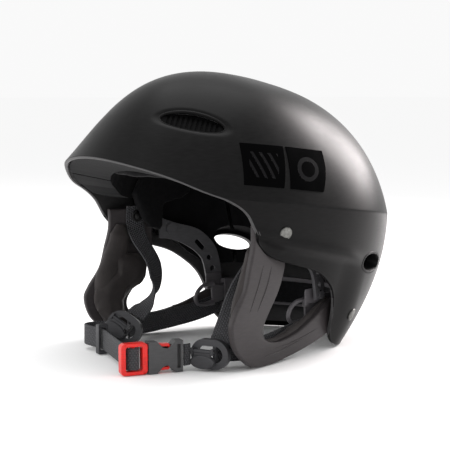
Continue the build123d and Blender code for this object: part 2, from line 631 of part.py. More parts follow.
def make_rack(side, up):
    """Toothed strip on the rear arc: above the pinion on one side, below it on the other."""
    low = CRADLE_Z + up * (PINION_R + TOOTH / 2 + 0.2)
    z0, z1 = sorted((low, low + up * 2.4))
    ring = Circle(REAR_ARC_R + RACK_T / 2) - Circle(REAR_ARC_R - RACK_T / 2)
    strip = extrude(Pos(0, REAR_ARC_Y, z0) * ring, amount=z1 - z0) & Pos(side * 9, REAR_Y, CRADLE_Z) * Box(30, 30, 40)
    pitch = 2 * pi * PINION_R / PINION_TEETH
    tooth = Pos(0, REAR_ARC_R, low - up * 0.5) * Box(0.8, RACK_T - 0.2, 1.1)
    for i in range(-3, 9):
        turn = degrees(i * pitch / REAR_ARC_R) * side
        strip += Pos(0, REAR_ARC_Y, 0) * Rot(0, 0, -turn) * tooth
    return strip


def build():
    make_shell()
    make_liners()
    make_pads()
    make_vent_inserts()
    make_patches()
    make_ear_guards()
    both("front_rivets", make_rivet(*RIVET_FRONT, 77.9))
    both("rear_rivets", make_rivet(*RIVET_REAR, 61.0))
    both("front_washers", make_washer(*RIVET_FRONT, 77.9))
    make_straps()
    for side, plane in (("left", DIVIDER_LEFT), ("right", DIVIDER_RIGHT)):
        parts["divider_" + side] = make_divider(plane)
        parts["cam_lever_" + side] = make_cam_lever(plane)
        parts["cam_pin_" + side] = make_cam_pin(plane)
    make_buckle()
    make_keeper()
    make_headband()
    make_cradle()


if __name__ == "__main__":
    build()
    os.makedirs("parts", exist_ok=True)
    for name, shape in parts.items():
        solids = [Pos(0, CENTRE_Y, 0) * solid for solid in shape.solids()]
        export_step(solids[0] if len(solids) == 1 else Compound(solids), f"parts/{name}.step")
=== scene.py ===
from math import cos, pi, radians, sin
import bmesh
import bpy
import numpy as np
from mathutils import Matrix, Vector
from mathutils.geometry import tessellate_polygon


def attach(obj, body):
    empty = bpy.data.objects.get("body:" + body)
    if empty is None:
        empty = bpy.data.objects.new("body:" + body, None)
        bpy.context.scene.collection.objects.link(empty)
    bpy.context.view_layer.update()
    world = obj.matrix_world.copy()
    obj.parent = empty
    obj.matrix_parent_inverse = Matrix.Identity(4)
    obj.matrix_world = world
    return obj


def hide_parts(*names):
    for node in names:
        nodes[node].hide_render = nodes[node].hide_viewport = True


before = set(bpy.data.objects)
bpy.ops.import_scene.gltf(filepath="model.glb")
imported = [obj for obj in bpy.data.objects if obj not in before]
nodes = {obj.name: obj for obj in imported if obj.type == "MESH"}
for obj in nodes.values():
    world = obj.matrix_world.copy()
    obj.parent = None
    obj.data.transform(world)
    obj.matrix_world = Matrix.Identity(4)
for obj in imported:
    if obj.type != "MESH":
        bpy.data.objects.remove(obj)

for default in ("Cube", "Light", "Camera"):
    if default in bpy.data.objects:
        bpy.data.objects.remove(bpy.data.objects[default])
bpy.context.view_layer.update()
CENTRE_Y = 4.31      # the lengths below are in mm, before this shift along Y


def metres(points):
    """Millimetre points of the standing helmet to metres in the row frame."""
    p = np.asarray(points, float).copy()
    p[..., 1] += CENTRE_Y
    return p / 1000


# ---- mesh helpers ----------------------------------------------------------
def new_object(name, verts, faces, material, body, hides=(), sharp=32, uv=None):
    """Object from millimetre points, riding on a body and standing for the CAD nodes in hides."""
    mesh = bpy.data.meshes.new(name)
    mesh.from_pydata([tuple(v) for v in metres(verts)], [], faces)
    if uv is not None:
        layer = mesh.uv_layers.new(name="UVMap")
        for loop in mesh.loops:
            layer.data[loop.index].uv = uv[loop.vertex_index]
    mesh.materials.append(material)
    mesh.validate()
    obj = bpy.data.objects.new(name, mesh)
    bpy.context.scene.collection.objects.link(obj)
    smooth(obj, sharp)
    return declare(obj, body, hides)


def smooth(obj, sharp):
    obj.data.shade_smooth()
    obj.data.set_sharp_from_angle(angle=radians(sharp))


def declare(obj, body, hides=()):
    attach(obj, body)
    if hides:
        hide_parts(*hides)
    return obj


def clean(obj, distance=1e-6, sharp=32):
    """Merge doubled points, drop flat faces and turn all faces outwards."""
    work = bmesh.new()
    work.from_mesh(obj.data)
    bmesh.ops.remove_doubles(work, verts=work.verts, dist=distance)
    bmesh.ops.dissolve_degenerate(work, edges=work.edges, dist=distance)
    bmesh.ops.recalc_face_normals(work, faces=work.faces)
    work.to_mesh(obj.data)
    work.free()
    smooth(obj, sharp)


def grid_faces(rows, columns, start=0, closed=False, flip=False):
    """Quads of a grid of points stored row by row."""
    faces = []
    for i in range(rows - 1):
        for j in range(columns if closed else columns - 1):
            k = (j + 1) % columns
            quad = [start + i * columns + j, start + i * columns + k,
                    start + (i + 1) * columns + k, start + (i + 1) * columns + j]
            faces.append(quad[::-1] if flip else quad)
    return faces


def apply_modifiers(obj):
    graph = bpy.context.evaluated_depsgraph_get()
    done = bpy.data.meshes.new_from_object(obj.evaluated_get(graph), depsgraph=graph)
    obj.modifiers.clear()
    obj.data = done


def catmull(points, count):
    """Smooth curve through points, count steps to a span; works on any number of columns."""
    p = np.asarray(points, float)
    p = np.vstack([2 * p[0] - p[1], p, 2 * p[-1] - p[-2]])
    spots = []
    for i in range(1, len(p) - 2):
        a, b, c, d = p[i - 1:i + 3]
        for t in np.linspace(0, 1, count, endpoint=False):
            spots.append(0.5 * (2 * b + (c - a) * t + (2 * a - 5 * b + 4 * c - d) * t ** 2
                                + (3 * b - a - 3 * c + d) * t ** 3))
    return np.array(spots + [p[-2]])


def unit(v):
    v = np.asarray(v, float)
    return v / np.linalg.norm(v, axis=-1, keepdims=True)


def tube(path, radius, sides=12, closed=False):
    """Round bar along a path: points and faces."""
    path = np.asarray(path, float)
    count = len(path)
    radius = np.broadcast_to(radius, count)
    if closed:
        along = unit(np.roll(path, -1, 0) - np.roll(path, 1, 0))
    else:
        along = unit(np.gradient(path, axis=0))
    across = np.cross(along[0], (0.3, 0.2, 1.0))
    verts = []
    for i in range(count):
        across = unit(across - along[i] * np.dot(across, along[i]))
        other = np.cross(along[i], across)
        for k in range(sides):
            a = 2 * pi * k / sides
            verts.append(path[i] + (across * cos(a) + other * sin(a)) * radius[i])
    faces = grid_faces(count, sides, closed=True)
    if closed:
        last = (count - 1) * sides
        faces += [[last + k, last + (k + 1) % sides, (k + 1) % sides, k] for k in range(sides)]
    else:
        faces += [list(range(sides))[::-1], [(count - 1) * sides + k for k in range(sides)]]
    return verts, faces


# ---- materials -------------------------------------------------------------
class Recipe:
    """Node tree of one material, with short names for the nodes it is made of."""

    def __init__(self, name, color, rough, metal=0.0, coat=0.0, sheen=0.0, specular=0.5):
        self.material = bpy.data.materials.new(name)
        self.material.use_nodes = True
        self.tree = self.material.node_tree
        self.surface = self.tree.nodes["Principled BSDF"]
        self.set("Base Color", (*color, 1))
        self.set("Roughness", rough)
        self.set("Metallic", metal)
        self.set("Coat Weight", coat)
        self.set("Coat Roughness", 0.15)
        self.set("Sheen Weight", sheen)
        self.set("Specular IOR Level", specular)
        self.space = self.add("ShaderNodeTexCoord").outputs["Object"]
        self.height = None

    def set(self, socket, value):
        self.surface.inputs[socket].default_value = value

    def add(self, kind, **settings):
        node = self.tree.nodes.new(kind)
        for key, value in settings.items():
            setattr(node, key, value)
        return node

    def plug(self, value, socket):
        if isinstance(value, (int, float)):
            socket.default_value = value
        else:
            self.tree.links.new(value, socket)

    def math(self, operation, a, b=0.0):
        node = self.add("ShaderNodeMath", operation=operation)
        self.plug(a, node.inputs[0])
        self.plug(b, node.inputs[1])
        return node.outputs[0]

    def noise(self, scale, detail=3.0, stretch=(1, 1, 1)):
        turn = self.add("ShaderNodeMapping")
        turn.inputs["Scale"].default_value = stretch
        self.plug(self.space, turn.inputs["Vector"])
        node = self.add("ShaderNodeTexNoise")
        node.inputs["Scale"].default_value = scale
        node.inputs["Detail"].default_value = detail
        self.plug(turn.outputs[0], node.inputs["Vector"])
        return node.outputs["Fac"]

    def cells(self, scale):
        node = self.add("ShaderNodeTexVoronoi")
        node.inputs["Scale"].default_value = scale
        self.plug(self.space, node.inputs["Vector"])
        return node.outputs["Distance"]

    def spread(self, value, low, high):
        node = self.add("ShaderNodeMapRange")
        self.plug(value, node.inputs["Value"])
        node.inputs["From Min"].default_value = 0.3
        node.inputs["From Max"].default_value = 0.7
        node.inputs["To Min"].default_value = low
        node.inputs["To Max"].default_value = high
        return node.outputs[0]

    def mix(self, factor, dark, light):
        node = self.add("ShaderNodeMix", data_type="RGBA")
        self.plug(factor, node.inputs[0])
        node.inputs[6].default_value = (*dark, 1)
        node.inputs[7].default_value = (*light, 1)
        return node.outputs[2]

    def bump(self, height, distance, strength=0.5):
        node = self.add("ShaderNodeBump")
        node.inputs["Strength"].default_value = strength
        node.inputs["Distance"].default_value = distance
        self.plug(height, node.inputs["Height"])
        if self.height is not None:
            self.plug(self.height, node.inputs["Normal"])
        self.height = node.outputs[0]
        self.plug(self.height, self.surface.inputs["Normal"])

    def uv(self):
        split = self.add("ShaderNodeSeparateXYZ")
        self.plug(self.add("ShaderNodeUVMap").outputs[0], split.inputs[0])
        return split.outputs[0], split.outputs[1]


def plastic(name, color, rough, grain=0.00002, coat=0.0, wear=0.06, scale=1800, specular=0.3):
    """Moulded plastic: fine spark-eroded grain, broad gloss variation and faint rubbed marks."""
    r = Recipe(name, color, rough, coat=coat, specular=specular)
    broad = r.noise(22, 4)
    marks = r.noise(160, 5, (1, 1, 5))
    rough_map = r.math("ADD", r.spread(broad, rough - wear, rough + wear), r.spread(marks, -0.02, 0.02))
    r.plug(rough_map, r.surface.inputs["Roughness"])
    lighter = tuple(min(c * 1.25 + 0.002, 1) for c in color)
    r.plug(r.mix(r.spread(marks, 0.0, 1.0), color, lighter), r.surface.inputs["Base Color"])
    r.bump(r.noise(scale, 2), grain, 0.4)
    return r.material


def foam(name, color, rough=0.85, cell=900):
    """Closed-cell foam: small cells with soft mottling."""
    r = Recipe(name, color, rough, sheen=0.04, specular=0.12)
    lighter = tuple(c * 1.5 for c in color)
    r.plug(r.mix(r.spread(r.noise(60, 4), 0, 1), color, lighter), r.surface.inputs["Base Color"])
    r.bump(r.cells(cell), 0.00012, 0.6)
    r.bump(r.noise(90, 3), 0.0004, 0.35)
    return r.material


def cloth(name, color):
    """Brushed knit over foam: fibres across a fine loop pattern."""
    r = Recipe(name, color, 0.9, sheen=0.05, specular=0.1)
    lighter = tuple(c * 1.7 for c in color)
    r.plug(r.mix(r.spread(r.noise(420, 4), 0, 1), color, lighter), r.surface.inputs["Base Color"])
    r.bump(r.cells(1500), 0.0002, 0.6)
    r.bump(r.noise(70, 3), 0.0006, 0.4)
    return r.material


def woven(name, color):
    """Webbing: UV is in mm, u across the width, v along the strap."""
    r = Recipe(name, color, 0.72, sheen=0.08, specular=0.25)
    u, v = r.uv()
    half = r.math("MULTIPLY", r.math("FLOOR", r.math("DIVIDE", u, 1.7)), 0.5)
    rows = r.math("SINE", r.math("MULTIPLY", r.math("ADD", r.math("DIVIDE", v, 2.1), half), 2 * pi))
    cords = r.math("ABSOLUTE", r.math("SINE", r.math("MULTIPLY", u, pi / 1.7)))
    weave = r.math("MULTIPLY", r.math("ADD", r.math("MULTIPLY", rows, 0.5), 0.6), cords)
    # Colour darkens where the weave is low: painted shade in its hollows, plus random mottling from the
    # noise.
    weave_shade_and_mottling = r.math("ADD", weave, r.math("MULTIPLY", r.noise(700, 3), 0.5))
    dark = tuple(c * 0.45 for c in color)
    light = tuple(c * 1.35 for c in color)
    r.plug(r.mix(weave_shade_and_mottling, dark, light), r.surface.inputs["Base Color"])
    r.bump(weave, 0.0006, 0.9)
    r.bump(r.noise(2600, 2), 0.00005, 0.5)
    return r.material


def metal(name, color, rough, grain):
    """Tumbled or drawn metal with small dents."""
    r = Recipe(name, color, rough, metal=1.0)
    r.plug(r.spread(r.noise(300, 4), rough - 0.12, rough + 0.15), r.surface.inputs["Roughness"])
    dark = tuple(c * 0.55 for c in color)
    r.plug(r.mix(r.spread(r.noise(420, 4), 0, 1), dark, color), r.surface.inputs["Base Color"])
    r.bump(r.noise(520, 3), grain, 0.6)
    return r.material


def panel(name, design):
    """Gloss black panel with a plain matt pattern; UV runs 0 to 1 each way."""
    r = Recipe(name, (0.0003, 0.0003, 0.0004), 0.16, specular=0.02)
    mask = design(r, *r.uv())
    r.plug(r.mix(mask, (0.0003, 0.0003, 0.0004), (0.0075, 0.0075, 0.008)), r.surface.inputs["Base Color"])
    smudges = r.spread(r.noise(60, 4), 0.12, 0.24)
    r.plug(r.math("ADD", smudges, r.math("MULTIPLY", mask, 0.3)), r.surface.inputs["Roughness"])
    r.bump(mask, 0.00008, 0.5)
    return r.material


def bars(r, u, v):
    """Slanted bars inside a margin."""
    slant = r.math("FRACT", r.math("MULTIPLY", r.math("ADD", u, r.math("MULTIPLY", v, 0.5)), 5.0))
    inside = r.math("MULTIPLY", r.math("LESS_THAN", r.math("ABSOLUTE", r.math("SUBTRACT", u, 0.5)), 0.34),
                    r.math("LESS_THAN", r.math("ABSOLUTE", r.math("SUBTRACT", v, 0.5)), 0.3))
    return r.math("MULTIPLY", r.math("LESS_THAN", slant, 0.34), inside)


def ring(r, u, v):
    """Plain ring in the middle of the panel."""
    x, y = r.math("SUBTRACT", u, 0.5), r.math("SUBTRACT", v, 0.5)
    away = r.math("SQRT", r.math("ADD", r.math("MULTIPLY", x, x), r.math("MULTIPLY", y, y)))
    return r.math("LESS_THAN", r.math("ABSOLUTE", r.math("SUBTRACT", away, 0.24)), 0.05)


SHELL = plastic("shell", (0.0014, 0.0013, 0.0014), 0.36, grain=0.000003, wear=0.04, specular=0.10)
# Lighter grey of the shell's inner surface, also put on the rim's downward-facing faces as painted light.
SHELL_INSIDE_AND_PAINTED_LIGHT = plastic("shell_inside_and_painted_light", (0.050, 0.049, 0.050), 0.55)
LINER = foam("liner_foam", (0.0035, 0.0035, 0.004))
PAD = cloth("pad_cloth", (0.004, 0.004, 0.0045))
EAR = plastic("ear_guard", (0.030, 0.026, 0.027), 0.46, grain=0.00003, specular=0.25)
EAR_FOAM = foam("ear_foam", (0.030, 0.0265, 0.026), 0.5, 1500)
WEBBING = woven("webbing", (0.046, 0.046, 0.050))
DARK_METAL = metal("dark_metal", (0.05, 0.05, 0.05), 0.5, 0.0001)
RIVET = metal("rivet", (0.20, 0.20, 0.19), 0.42, 0.0003)
STEEL = metal("pin_steel", (0.5, 0.5, 0.5), 0.3, 0.00004)
GREY = plastic("buckle_grey", (0.052, 0.052, 0.054), 0.42)
DARK = plastic("divider_grey", (0.034, 0.034, 0.037), 0.38)
RED = plastic("buckle_red", (0.62, 0.012, 0.009), 0.30, coat=0.2, wear=0.04)
BAND = plastic("headband", (0.055, 0.054, 0.058), 0.45)
CRADLE = plastic("cradle", (0.085, 0.08, 0.086), 0.42)
VENT = plastic("vent_plastic", (0.0022, 0.0022, 0.0024), 0.5, specular=0.12)
# Grille colour darker than the shell and barely reflective: painted shade deep in the eye vents.
GRILLE_PAINTED_SHADE = plastic("grille", (0.0008, 0.0008, 0.0009), 0.6, specular=0.05)
PANEL_BARS = panel("panel_bars", bars)
PANEL_RING = panel("panel_ring", ring)


# ---- shell -----------------------------------------------------------------
PITCH, CREASE_Z = radians(7.0), 116.0
CROWN, BASE = 96.6, -125.0
SIDE_R, FRONT_R, REAR_R = 111.5, 168.0, 125.0
CENTRES = (-25.0, 7.0, 25.0)              # fore-and-aft middle at the crown, shoulder line and base
SHELL_T = 3.4
RIM = [(-142, 155.5), (-133, 150), (-115, 140.7), (-96, 129.8), (-79, 122), (-67, 113), (-60, 102),
       (-53, 91), (-37, 79.5), (-16, 73), (5, 66.5), (20, 57), (30, 46), (35, 32), (38, 12), (48, 3),
       (60, 0), (150, 0)]
RIDGE = [(-75, 112), (-60, 101), (-34, 90.4), (4, 82.6), (30, 77), (56, 69.8), (80, 60)]


def level_ground(x, y, z):
    """Level helmet to the standing one: tipped back and raised."""
    c, s = cos(PITCH), sin(PITCH)
    return np.stack([x, y * c + z * s, -y * s + z * c + CREASE_Z], -1)


def shell_point(s, turn, inset):
    """Points of the shell; s 0 to 1 crown to shoulder line, 1 to 2 below; turn 0 at the wearer's left."""
    s, turn, i = np.broadcast_arrays(np.asarray(s, float), np.radians(turn), np.asarray(inset, float))
    top = CROWN - i
    upper = np.clip(s, 0, 1)
    lower = np.clip(s - 1, 0, 1)
    zero = np.zeros_like(s)

    def outline(size, out, shoulder, below):
        bend = (shoulder[0] - i, zero + shoulder[1])
        waist = (below[0] - i, zero + below[1])
        up = bezier_field([(zero, top), (out - i, top), bend, (size - i, zero)], upper)
        down = bezier_field([(size - i, zero), waist, (below[2] - i, zero + BASE)], lower)
        return np.where(s <= 1, up, down)

    side = outline(SIDE_R, 55, (92.5, 47), (93.5, -57.5, 72.5))
    front = outline(FRONT_R, 85.5, (127, 37.5), (168, -60, 128))
    rear = outline(REAR_R, 95.5, (111, 70), (139, -60, 61.5))
    c, n = np.cos(turn), np.sin(turn)
    end = np.where(n < 0, front, rear)
    ease = upper * upper * (3 - 2 * upper)
    middle = np.where(s <= 1, CENTRES[0] + (CENTRES[1] - CENTRES[0]) * ease,
                      CENTRES[1] + (CENTRES[2] - CENTRES[1]) * lower)
    return level_ground(side[0] * c, middle + end[0] * n, side[1] * c * c + end[1] * n * n)


def bezier_field(points, t):
    points = [np.stack(np.broadcast_arrays(a, b)) for a, b in points]
    while len(points) > 1:
        points = [p + (q - p) * t for p, q in zip(points, points[1:])]
    return points[0]


def smooth_line(line):
    """Fine version of a line z(y) without overshoot at its corners."""
    y, z = np.array(line, float).T
    step, slope = np.diff(y), np.diff(z) / np.diff(y)
    ends = np.zeros(len(y))
    ends[0], ends[-1] = slope[0], slope[-1]
    for k in range(1, len(y) - 1):
        if slope[k - 1] * slope[k] > 0:
            a, b = 2 * step[k] + step[k - 1], step[k] + 2 * step[k - 1]
            ends[k] = (a + b) / (a / slope[k - 1] + b / slope[k])
    fine_y, fine_z = [], []
    for k in range(len(step)):
        t = np.linspace(0, 1, 30, endpoint=False)
        h = (2 * t ** 3 - 3 * t ** 2 + 1, t ** 3 - 2 * t ** 2 + t, 3 * t ** 2 - 2 * t ** 3, t ** 3 - t ** 2)
        fine_y.append(y[k] + t * step[k])
        left = h[0] * z[k] + h[1] * step[k] * ends[k]
        fine_z.append(left + h[2] * z[k + 1] + h[3] * step[k] * ends[k + 1])
    return np.append(np.concatenate(fine_y), y[-1]), np.append(np.concatenate(fine_z), z[-1])


RIM_Y, RIM_Z = smooth_line(RIM)


def rim_level(turn, inset, lift=0.0):
    """Level at which the surface meets the rim line raised by lift, for an array of turns."""
    scan = np.linspace(0.1, 1.995, 96)
    spots = shell_point(scan[:, None], turn[None, :], inset)
    under = spots[..., 2] < np.interp(spots[..., 1], RIM_Y, RIM_Z) + lift
    under[-1] = True
    first = under.argmax(0)
    low, high = scan[np.maximum(first - 1, 0)], scan[first]
    for _ in range(16):
        middle = (low + high) / 2
        p = shell_point(middle, turn, inset)
        hit = p[:, 2] < np.interp(p[:, 1], RIM_Y, RIM_Z) + lift
        low, high = np.where(hit, low, middle), np.where(hit, middle, high)
    return low


def vent_frame(s, turn, along):
    """Middle of a vent, unit directions along, across and out of the shell, and its (s, turn)."""
    here = shell_point(s, turn, 0)
    down = shell_point(s + 0.01, turn, 0) - here
    sideways = shell_point(s, turn + 1, 0) - here
    out = unit(np.cross(sideways, down))
    if np.dot(out, here - np.array([0, 0, 90])) < 0:
        out = -out
    along = np.asarray(along, float)
    along = unit(along - out * np.dot(along, out))
    return here, along, np.cross(out, along), out, (s, turn)


EYE_VENT = vent_frame(0.59, -48, (33, 35, -9))
TOP_VENT = vent_frame(0.20, 52, (8, 29, -9))
SIDE_VENT = vent_frame(1.33, 30, (-20, 37, -7))
VENTS = ((EYE_VENT, 24.0, 8.4, 0.8), (TOP_VENT, 21.0, 6.4, 1.2), (SIDE_VENT, 19.8, 9.3, 0.0))


def smoothstep(low, high, x):
    t = np.clip((x - low) / (high - low), 0, 1)
    return t * t * (3 - 2 * t)


def sink(points):
    """Soft dish round each vent, and the shell turning in under the side ridge."""
    moved = points.copy()
    for (centre, along, across, out, _), a, b, depth in VENTS:
        for side in (1, -1):
            flip = np.array([side, 1, 1])
            away = points * flip - centre
            u, v, w = away @ along / a, away @ across / b, away @ out
            r = np.sqrt(u * u + v * v)
            near = (np.abs(w) < 30) * (1 - smoothstep(1.0, 1.3, r))
            moved -= (near * depth)[..., None] * out * flip
    ridge = np.interp(points[..., 1], *np.array(RIDGE, float).T)
    band = smoothstep(-72, -46, points[..., 1]) * (1 - smoothstep(30, 64, points[..., 1]))
    band = band * smoothstep(55, 75, np.abs(points[..., 0]))
    drop = np.clip(ridge - points[..., 2], 0, 30)
    swell = np.exp(-((points[..., 2] - ridge - 1.0) / 5.0) ** 2)
    depth = band * (3.0 * smoothstep(0, 7, drop) + 0.08 * drop - 2.2 * swell)
    moved[..., 0] -= np.sign(points[..., 0]) * depth
    return moved


def shell_rows(turn, inset, end, upper, lower):
    """Rows of points from the crown to level end, denser at the shoulder line."""
    shoulder = np.minimum(end, 1.0)
    k = np.linspace(0, 1, upper)
    k = 1 - (1 - k) ** 1.25
    above = 0.015 + (shoulder - 0.015) * k[:, None]
    j = np.linspace(0, 1, lower + 1)[1:] ** 1.25
    below = shoulder + (end - shoulder) * j[:, None]
    rows = shell_point(np.vstack([above, below]), turn, inset)
    for _ in range(2):
        soft = (rows[upper - 3:upper + 1] + 2 * rows[upper - 2:upper + 2] + rows[upper - 1:upper + 3]) / 4
        rows[upper - 2:upper + 2] = soft
    return rows


def build_shell():
    turn = np.arange(0, 360, 0.6)
    columns, upper, lower = len(turn), 104, 46
    round_over = 1.3
    outer_end = rim_level(turn, 0.0, round_over)
    inner_end = rim_level(turn, SHELL_T, round_over)
    outer = sink(shell_rows(turn, 0.0, outer_end, upper, lower))
    inner = sink(shell_rows(turn, SHELL_T, inner_end, upper, lower))
    edge = []
    for a in np.linspace(0, pi, 9)[1:-1]:
        k = (1 - cos(a)) / 2
        mid = outer[-1] * (1 - k) + inner[-1] * k
        mid[:, 2] -= round_over * sin(a)
        edge.append(mid)
    rows = np.concatenate([outer, np.array(edge), inner[::-1]])
    verts = [shell_point(0, 0, 0)] + list(rows.reshape(-1, 3)) + [shell_point(0, 0, SHELL_T)]
    faces = grid_faces(len(rows), columns, start=1, closed=True)
    last = len(verts) - 1
    faces += [[0, 1 + (j + 1) % columns, 1 + j] for j in range(columns)]
    faces += [[last, last - columns + j, last - columns + (j + 1) % columns] for j in range(columns)]
    shell = new_object("shell", verts, faces, SHELL, "helmet", ["outer_shell"])
    clean(shell)
    shell.data.materials.append(SHELL_INSIDE_AND_PAINTED_LIGHT)
    cut_vents(shell)
    paint_inside_and_painted_light(shell)
    smooth(shell, 28)
    return shell


def cut_vents(shell):
    cutters = []
    for (centre, along, across, out, _), a, b, _ in VENTS:
        for side in (1, -1):
            ring_points = []
            for height in (-34, 14):
                for k in range(96):
                    t = 2 * pi * k / 96
                    p = centre + along * a * cos(t) + across * b * sin(t) + out * height
                    ring_points.append(p * np.array([side, 1, 1]))
            faces = grid_faces(2, 96, closed=True) + [list(range(96)), list(range(96, 192))]
            mesh = bpy.data.meshes.new("cutter")
            mesh.from_pydata([tuple(p) for p in metres(ring_points)], [], faces)
            cutter = bpy.data.objects.new("cutter", mesh)
            bpy.context.scene.collection.objects.link(cutter)
            clean(cutter)
            cutters.append(cutter)
            change = shell.modifiers.new("vent", "BOOLEAN")
            change.operation = "DIFFERENCE"
            change.solver = "EXACT"
            change.object = cutter
    apply_modifiers(shell)
    for cutter in cutters:
        bpy.data.objects.remove(cutter)


def paint_inside_and_painted_light(shell):
    """Second material: the lighter grey of the faces that look into the helmet, also used as painted light on
    the rim's downward-facing faces.
    """
    middle = Vector(metres([0, -5, 105]))
    for face in shell.data.polygons:
        inward = face.normal.dot(middle - face.center) > 0
        # Downward-facing faces of the rim take the lighter grey as painted light, whatever part they belong
        # to.
        rim = face.normal.z < -0.35 and face.center.z > 0.1
        face.material_index = 1 if (inward or rim) and face.center.z > 0.004 else 0


def build_brim_bead():
    """Raised bead that runs round the underside of the brim."""
    turn = np.linspace(208, 332, 140)
    level = rim_level(turn, SHELL_T) - 0.085
    path = sink(shell_point(level, turn, SHELL_T + 0.2))
    radius = 1.5 * np.minimum(1, np.minimum(turn - 207, 333 - turn) / 8) ** 0.5
    verts, faces = tube(path, radius, 12)
    clean(new_object("brim_bead", verts, faces, SHELL_INSIDE_AND_PAINTED_LIGHT, "helmet"))


# ---- vents -----------------------------------------------------------------
def onto_shell(vent, u, v, inset=0.0):
    """Points of the shell that lie over (u, v) in a vent's plane, by Newton steps."""
    centre, along, across, _, (start_s, start_turn) = vent
    step_s, step_turn, damping = 0.002, 0.2, 0.6
    s, turn = np.full(len(u), float(start_s)), np.full(len(u), float(start_turn))
    for _ in range(40):
        here = shell_point(s, turn, inset)
        ds = shell_point(s + step_s, turn, inset) - here
        dt = shell_point(s, turn + step_turn, inset) - here
        off = here - centre
        eu, ev = u - off @ along, v - off @ across
        a, b, c, d = ds @ along, dt @ along, ds @ across, dt @ across
        det = a * d - b * c
        s = s + step_s * (eu * d - b * ev) / det * damping
        turn = turn + step_turn * (a * ev - eu * c) / det * damping
    return sink(shell_point(s, turn, inset))


def vent_lip(name, vent, a, b, sizes, side):
    """Rounded lip round a vent; sizes are its radius along the upper and the lower edge."""
    _, _, across, out, _ = vent
    t = np.linspace(0, 2 * pi, 120, endpoint=False)
    weight = (1 + (1 if across[2] > 0 else -1) * np.sin(t)) / 2
    radius = sizes[1] + (sizes[0] - sizes[1]) * weight ** 2
    path = onto_shell(vent, a * np.cos(t), b * np.sin(t)) - out * radius[:, None] * 0.55
    verts, faces = tube(path * np.array([side, 1, 1]), radius, 10, closed=True)
    clean(new_object(name, verts, faces, SHELL, "helmet"))


def vent_sleeve(name, vent, a, b, wall, depth, side, hides):
    """Oval insert that lines a vent: a rounded rim on the shell and walls going in."""
    _, _, _, out, _ = vent
    t = np.linspace(0, 2 * pi, 96, endpoint=False)
    rows = []
    for shrink, low in ((0, depth), (0, 0.2), (0.3, -0.25), (wall * 0.5, -0.45), (wall - 0.3, -0.25),
                        (wall, 0.3), (wall + 0.6, depth)):
        rows.append(onto_shell(vent, (a - shrink) * np.cos(t), (b - shrink) * np.sin(t)) - out * low)
    verts = np.concatenate(rows) * np.array([side, 1, 1])
    faces = grid_faces(len(rows), len(t), closed=True)
    last = (len(rows) - 1) * len(t)
    faces += [[last + k, last + (k + 1) % len(t), (k + 1) % len(t), k] for k in range(len(t))]
    clean(new_object(name, verts, faces, VENT, "helmet", hides))


# ---- rivets ----------------------------------------------------------------
RIVET_FRONT, RIVET_REAR = (-36.0, 99.0), (60.0, 26.0)


def revolve(profile, origin, axis, sides=48):
    """Solid of revolution from (radius, height) pairs, from the axis out and back to it."""
    axis = unit(axis)
    u = unit(np.cross(axis, (0.2, 0.3, 1.0)))
    v = np.cross(axis, u)
    verts = []
    for r, h in profile:
        for k in range(sides):
            a = 2 * pi * k / sides
            verts.append(origin + axis * h + (u * cos(a) + v * sin(a)) * r)
    faces = grid_faces(len(profile), sides, closed=True)
    faces += [list(range(sides))[::-1], [(len(profile) - 1) * sides + k for k in range(sides)]]
    return verts, faces


def shell_seat(y, z):
    """Point and outward direction of the left side of the shell at side-view position (y, z)."""
    s, turn = 1.3, 0.0
    for _ in range(40):
        here = shell_point(s, turn, 0)
        ds, dt = shell_point(s + 0.01, turn, 0) - here, shell_point(s, turn + 1, 0) - here
        det = ds[1] * dt[2] - ds[2] * dt[1]
        ey, ez = y - here[1], z - here[2]
        s += 0.01 * (ey * dt[2] - ez * dt[1]) / det * 0.7
        turn += (ds[1] * ez - ds[2] * ey) / det * 0.7
    out = unit(np.cross(dt, ds))
    return sink(here), out if out[0] > 0 else -out


def build_rivets(name, spot, inner_x, hides):
    """Pair of shallow domed rivets with a raised rim, and their dark clinched tails inside."""
    here, out = shell_seat(*spot)
    dome = [(0.05, 1.15), (1.5, 1.1), (2.7, 0.95), (3.5, 0.72), (3.85, 0.65), (4.2, 0.85), (4.6, 0.85),
            (4.95, 0.5), (5.1, 0.0), (5.05, -0.6), (2.2, -0.7), (0.05, -0.7)]
    tail = [(0.05, 0.3), (2.2, 0.3), (2.9, 0.1), (3.0, -0.6), (2.5, -1.05), (0.05, -1.2)]
    for side, label in ((1, "left"), (-1, "right")):
        flip = np.array([side, 1, 1])
        verts, faces = revolve(dome, here * flip, out * flip)
        hidden = hides if side > 0 else ()
        clean(new_object(f"{name}_{label}", verts, faces, RIVET, "helmet", hidden), sharp=40)
        shank = [(0.05, inner_x + 2), (2.2, inner_x + 2), (2.2, here[0] - 0.8), (0.05, here[0] - 0.8)]
        start = np.array([0, *spot])
        verts, faces = revolve(shank, start, (side, 0, 0))
        more, extra = revolve([(r, h + inner_x) for r, h in tail], start, (side, 0, 0))
        faces += [[k + len(verts) for k in face] for face in extra]
        verts += more
        clean(new_object(f"{name}_tail_{label}", verts, faces, DARK_METAL, "helmet"), sharp=40)


# ---- flat plates with rounded edges ----------------------------------------
def resample(loop, step):
    """Even spacing along a closed outline."""
    loop = np.vstack([loop, loop[:1]])
    away = np.concatenate([[0], np.cumsum(np.linalg.norm(np.diff(loop, axis=0), axis=1))])
    spots = np.linspace(0, away[-1], max(int(away[-1] / step), 8), endpoint=False)
    return np.stack([np.interp(spots, away, loop[:, k]) for k in range(loop.shape[1])], -1)


def inward_normals(loop):
    along = unit(np.roll(loop, -1, 0) - np.roll(loop, 1, 0))
    x, y = loop.T
    area = 0.5 * np.sum(x * np.roll(y, -1) - y * np.roll(x, -1))
    return np.stack([-along[:, 1], along[:, 0]], -1) * (1 if area > 0 else -1)


